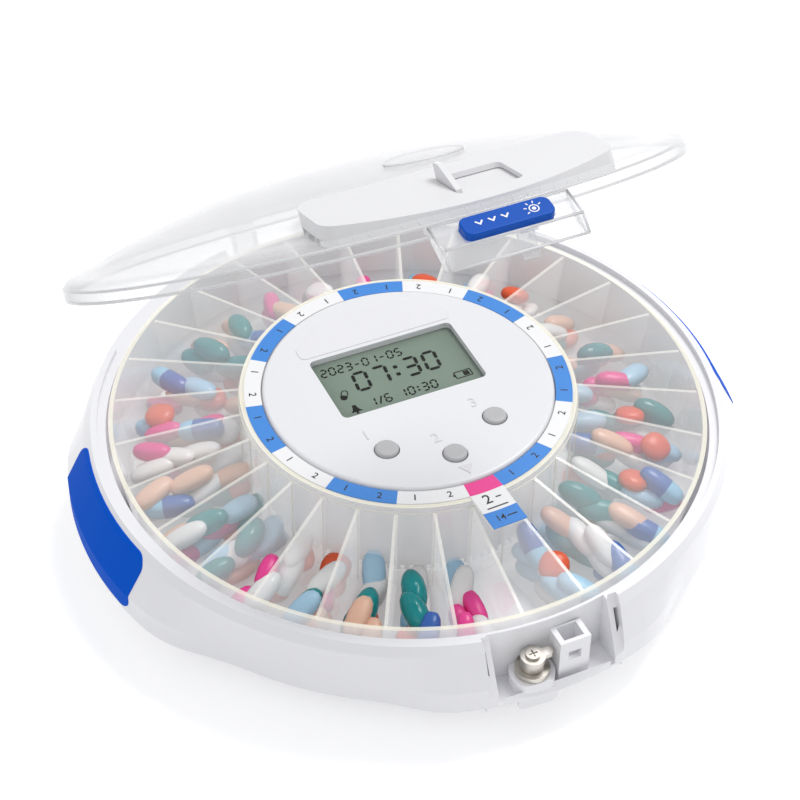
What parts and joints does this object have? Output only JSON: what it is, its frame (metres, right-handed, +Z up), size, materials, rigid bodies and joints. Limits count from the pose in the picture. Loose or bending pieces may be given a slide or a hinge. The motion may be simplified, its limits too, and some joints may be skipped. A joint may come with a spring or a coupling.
{
  "type": "automatic pill dispenser",
  "caption": "Round tabletop pill dispenser: a motor-driven ring of dose cells round a display hub, under a clear domed lid with a latch, a lock and a dispensing shutter.",
  "frame": {"origin": "centre of the footprint, on the plane that the foot ring stands on", "axes": "+Z up, -Y towards the latch and the lock, +X to the right seen from the front"},
  "size_m": [0.2272, 0.2277, 0.164],
  "materials": {
    "case_white": "moulded white ABS with a soft sheen",
    "grip_blue": "soft-touch blue elastomer",
    "clear_lid": "clear polycarbonate, polished",
    "clear_tray": "clear polystyrene, slightly hazy",
    "display_lens": "clear acrylic lens",
    "display_panel": "grey-green liquid crystal panel",
    "printed_label": "printed film, blue, white and pink",
    "blank_label": "blank printed film",
    "button_grey": "fine-textured grey",
    "board_green": "green solder mask",
    "black_parts": "black moulding",
    "gear_nylon": "natural acetal",
    "steel": "zinc-plated steel",
    "cell_jacket": "printed cell jacket",
    "lock_nickel": "nickel plate, satin",
    "foot_rubber": "moulded rubber"
  },
  "bodies": {
    "base": {"lower_case": "case_white", "upper_case": "case_white", "hub_cover": "case_white", "latch_keeper": "case_white", "carousel_deck": "case_white", "hub_tower": "case_white", "motor_bracket": "case_white", "side_grip_left": "grip_blue", "side_grip_right": "grip_blue", "lcd_lens": "display_lens", "lcd_panel": "display_panel", "name_plate": "blank_label", "main_board": "board_green", "button_switches": "black_parts", "buzzer": "black_parts", "gear_motor": "steel", "gear_axle": "steel", "board_screws": "steel", "case_screws": "steel", "hinge_pin": "steel", "battery_contacts": "steel", "batteries": "cell_jacket", "lock_body": "lock_nickel", "foot_ring": "foot_rubber"},
    "lid": {"lid_rim": "clear_lid", "lid_dome": "clear_lid", "door_plate": "case_white", "door_retainer": "case_white", "latch_cover": "clear_lid", "hook_pin": "steel"},
    "shutter": {"door_shutter": "clear_lid"},
    "latch_pad": {"press_pad": "grip_blue"},
    "hook": {"latch_hook": "clear_lid"},
    "tray": {"tray_inner_wall": "clear_tray", "tray_outer_wall": "clear_tray", "tray_floor": "clear_tray", "tray_dividers": "clear_tray", "tray_ring_gear": "clear_tray", "dose_label_ring": "printed_label"},
    "drive": {"drive_gear": "gear_nylon"},
    "motor_gear": {"motor_pinion": "gear_nylon"},
    "lock": {"lock_plug": "lock_nickel", "lock_cam": "lock_nickel", "lock_cam_screw": "steel"},
    "button_left": {"button_left": "button_grey"},
    "button_middle": {"button_middle": "button_grey"},
    "button_right": {"button_right": "button_grey"},
    "battery_door": {"battery_cover": "case_white"},
    "battery_screw": {"battery_cover_screw": "steel"}
  },
  "joints": [
    {"name": "lid_hinge", "type": "hinge", "parent": "base", "child": "lid", "pos_m": [0, 0.106, 0.026], "axis": [-1, 0, 0], "range_deg": [-36, 54]},
    {"name": "tray_spin", "type": "hinge", "parent": "base", "child": "tray", "pos_m": [0, 0, 0.0114], "axis": [0, 0, 1], "continuous": true},
    {"name": "drive_spin", "type": "hinge", "parent": "base", "child": "drive", "pos_m": [0, 0.0432, 0.0133], "axis": [0, 0, 1], "continuous": true},
    {"name": "motor_spin", "type": "hinge", "parent": "base", "child": "motor_gear", "pos_m": [0, 0.0327, 0.0195], "axis": [0, 0, 1], "continuous": true},
    {"name": "shutter_slide", "type": "slide", "parent": "lid", "child": "shutter", "axis": [1, 0, 0], "range_m": [0, 0.014]},
    {"name": "latch_press", "type": "slide", "parent": "lid", "child": "latch_pad", "axis": [0, 0.0715, -0.9974], "range_m": [0, 0.0012], "stiffness_N_per_m": 1500, "springref_m": -0.0004},
    {"name": "hook_turn", "type": "hinge", "parent": "lid", "child": "hook", "pos_m": [0, -0.05919, 0.15727], "axis": [1, 0, 0], "range_deg": [0, 9]},
    {"name": "lock_turn", "type": "hinge", "parent": "base", "child": "lock", "pos_m": [-0.0067, -0.1049, 0.0242], "axis": [0, 0, -1], "range_deg": [0, 90]},
    {"name": "battery_door_pull", "type": "slide", "parent": "base", "child": "battery_door", "axis": [0, 0, -1], "range_m": [0, 0.012]},
    {"name": "battery_screw_pull", "type": "slide", "parent": "battery_door", "child": "battery_screw", "axis": [0, 0, -1], "range_m": [0, 0.0095]},
    {"name": "press_left", "type": "slide", "parent": "base", "child": "button_left", "axis": [0, 0, -1], "range_m": [0, 0.0008], "stiffness_N_per_m": 1200, "springref_m": -0.0004},
    {"name": "press_middle", "type": "slide", "parent": "base", "child": "button_middle", "axis": [0, 0, -1], "range_m": [0, 0.0008], "stiffness_N_per_m": 1200, "springref_m": -0.0004},
    {"name": "press_right", "type": "slide", "parent": "base", "child": "button_right", "axis": [0, 0, -1], "range_m": [0, 0.0008], "stiffness_N_per_m": 1200, "springref_m": -0.0004}
  ],
  "couplings": [
    {"joint": "drive_spin", "follows": "tray_spin", "ratio": 5.8},
    {"joint": "motor_spin", "follows": "tray_spin", "ratio": -18.56},
    {"joint": "hook_turn", "follows": "latch_press", "rad_per_m": 130.89}
  ]
}
